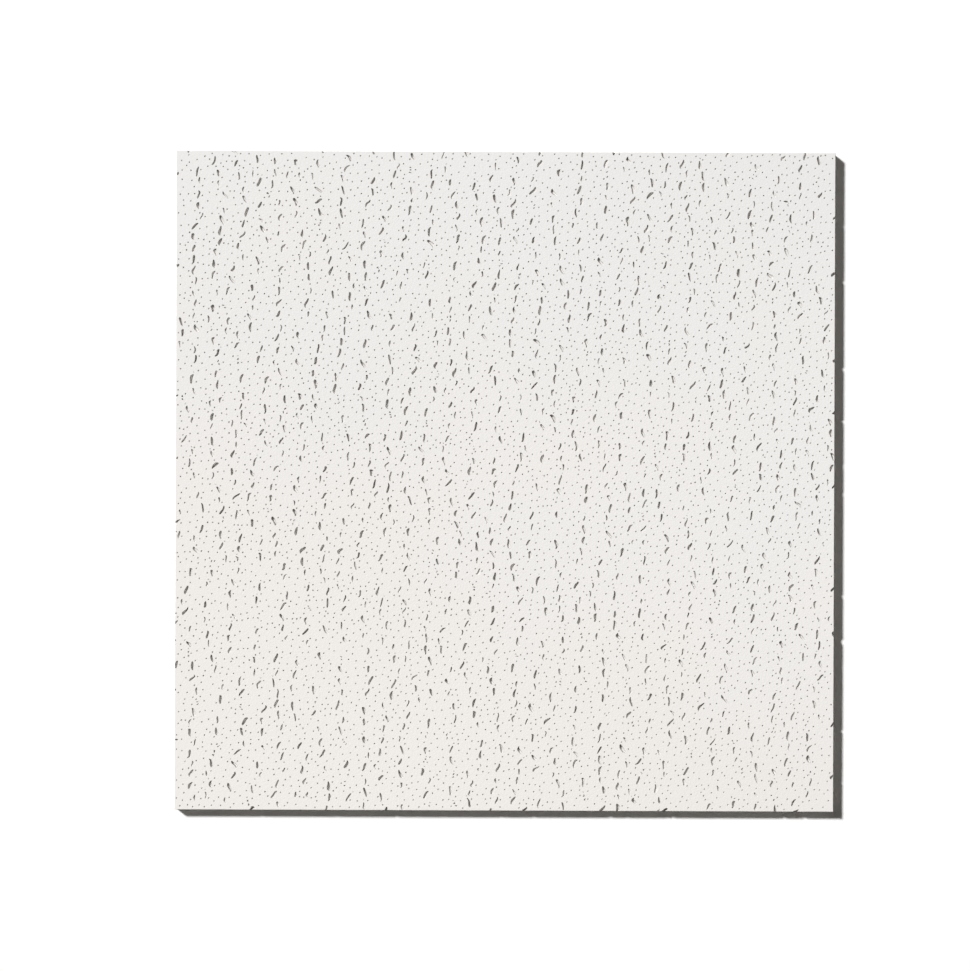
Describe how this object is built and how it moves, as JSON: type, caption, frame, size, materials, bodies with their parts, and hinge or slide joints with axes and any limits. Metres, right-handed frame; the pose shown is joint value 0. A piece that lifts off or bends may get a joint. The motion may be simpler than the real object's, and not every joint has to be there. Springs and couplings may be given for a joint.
{
  "type": "suspended ceiling tile",
  "caption": "Square lay-in ceiling tile: a square-edged mineral-fibre board with a white fissured and pinholed face and a plain back.",
  "frame": {"origin": "centre of the plain back, on the surface that the tile lies on", "axes": "+Z out of the fissured face, +Y along the fissures, +X across them"},
  "size_m": [0.595, 0.595, 0.015],
  "materials": {
    "tile": "matte painted mineral fibre"
  },
  "bodies": {
    "root": {"tile": "tile"}
  },
  "joints": []
}
